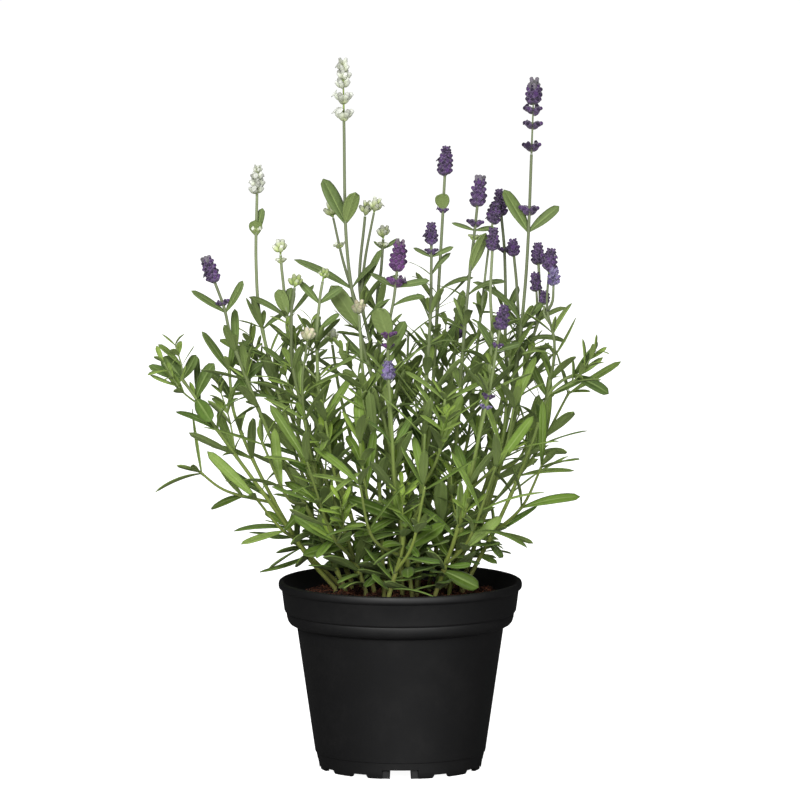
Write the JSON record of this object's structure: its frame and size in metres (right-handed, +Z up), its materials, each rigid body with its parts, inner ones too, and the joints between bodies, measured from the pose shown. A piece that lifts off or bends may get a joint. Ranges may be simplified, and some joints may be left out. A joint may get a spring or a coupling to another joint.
{
  "type": "potted lavender",
  "caption": "Young lavender plant with narrow grey-green leaves and upright white and purple flower heads, growing in soil in a round black moulded nursery pot with a footed base.",
  "frame": {"origin": "on the table under the middle of the whole plant's bounding box, which lies beside the pot's own axis", "axes": "+Z up along the stems, +X to the right and -Y towards the viewer of the picture"},
  "size_m": [0.2336, 0.1686, 0.3527],
  "materials": {
    "pot": "satin black moulded polypropylene",
    "soil": "rough dark red-brown fibrous coir",
    "leafy_stem": "matt grey-green leaf with a fine pale down",
    "purple_bloom": "matt dark violet with lilac-grey calyces",
    "white_bloom": "matt creamy white with green centres"
  },
  "bodies": {
    "root": {"pot": "pot", "soil": "soil", "stem_tall_white": "leafy_stem", "stem_twin_white": "leafy_stem", "stem_far_white": "leafy_stem", "stem_left_white": "leafy_stem", "stem_front_white": "leafy_stem", "stem_green_bud": "leafy_stem", "stem_faded_white": "leafy_stem", "stem_back_white": "leafy_stem", "stem_bright_purple": "leafy_stem", "stem_left_purple": "leafy_stem", "stem_tall_purple": "leafy_stem", "stem_slim_purple": "leafy_stem", "stem_spire_purple": "leafy_stem", "stem_dark_purple": "leafy_stem", "stem_mid_purple": "leafy_stem", "stem_short_purple": "leafy_stem", "stem_forked_purple": "leafy_stem", "stem_front_purple": "leafy_stem", "stem_centre_purple": "leafy_stem", "stem_low_purple": "leafy_stem", "stem_right_shoot": "leafy_stem", "stem_left_shoot": "leafy_stem", "stem_left_inner_shoot": "leafy_stem", "stem_rear_white": "leafy_stem", "stem_rear_purple": "leafy_stem", "stem_rear_shoot": "leafy_stem", "bloom_tall_white": "white_bloom", "bloom_white_behind": "white_bloom", "bloom_twin_white": "white_bloom", "bloom_twin_white_right": "white_bloom", "bloom_far_white": "white_bloom", "bloom_left_white": "white_bloom", "bloom_front_white": "white_bloom", "bloom_low_white": "white_bloom", "bloom_green_bud": "white_bloom", "bloom_faded_white": "white_bloom", "bloom_back_white": "white_bloom", "bloom_bright_purple": "purple_bloom", "bloom_left_purple": "purple_bloom", "bloom_tall_purple": "purple_bloom", "bloom_slim_purple": "purple_bloom", "bloom_spire_purple": "purple_bloom", "bloom_pale_purple": "purple_bloom", "bloom_dark_purple": "purple_bloom", "bloom_mid_purple": "purple_bloom", "bloom_short_purple": "purple_bloom", "bloom_forked_purple": "purple_bloom", "bloom_forked_purple_low": "purple_bloom", "bloom_front_purple": "purple_bloom", "bloom_centre_purple": "purple_bloom", "bloom_low_purple": "purple_bloom", "bloom_cluster_purple": "purple_bloom", "bloom_cluster_purple_right": "purple_bloom", "bloom_cluster_purple_low": "purple_bloom", "bloom_rear_white": "white_bloom", "bloom_rear_purple": "purple_bloom"}
  },
  "joints": []
}
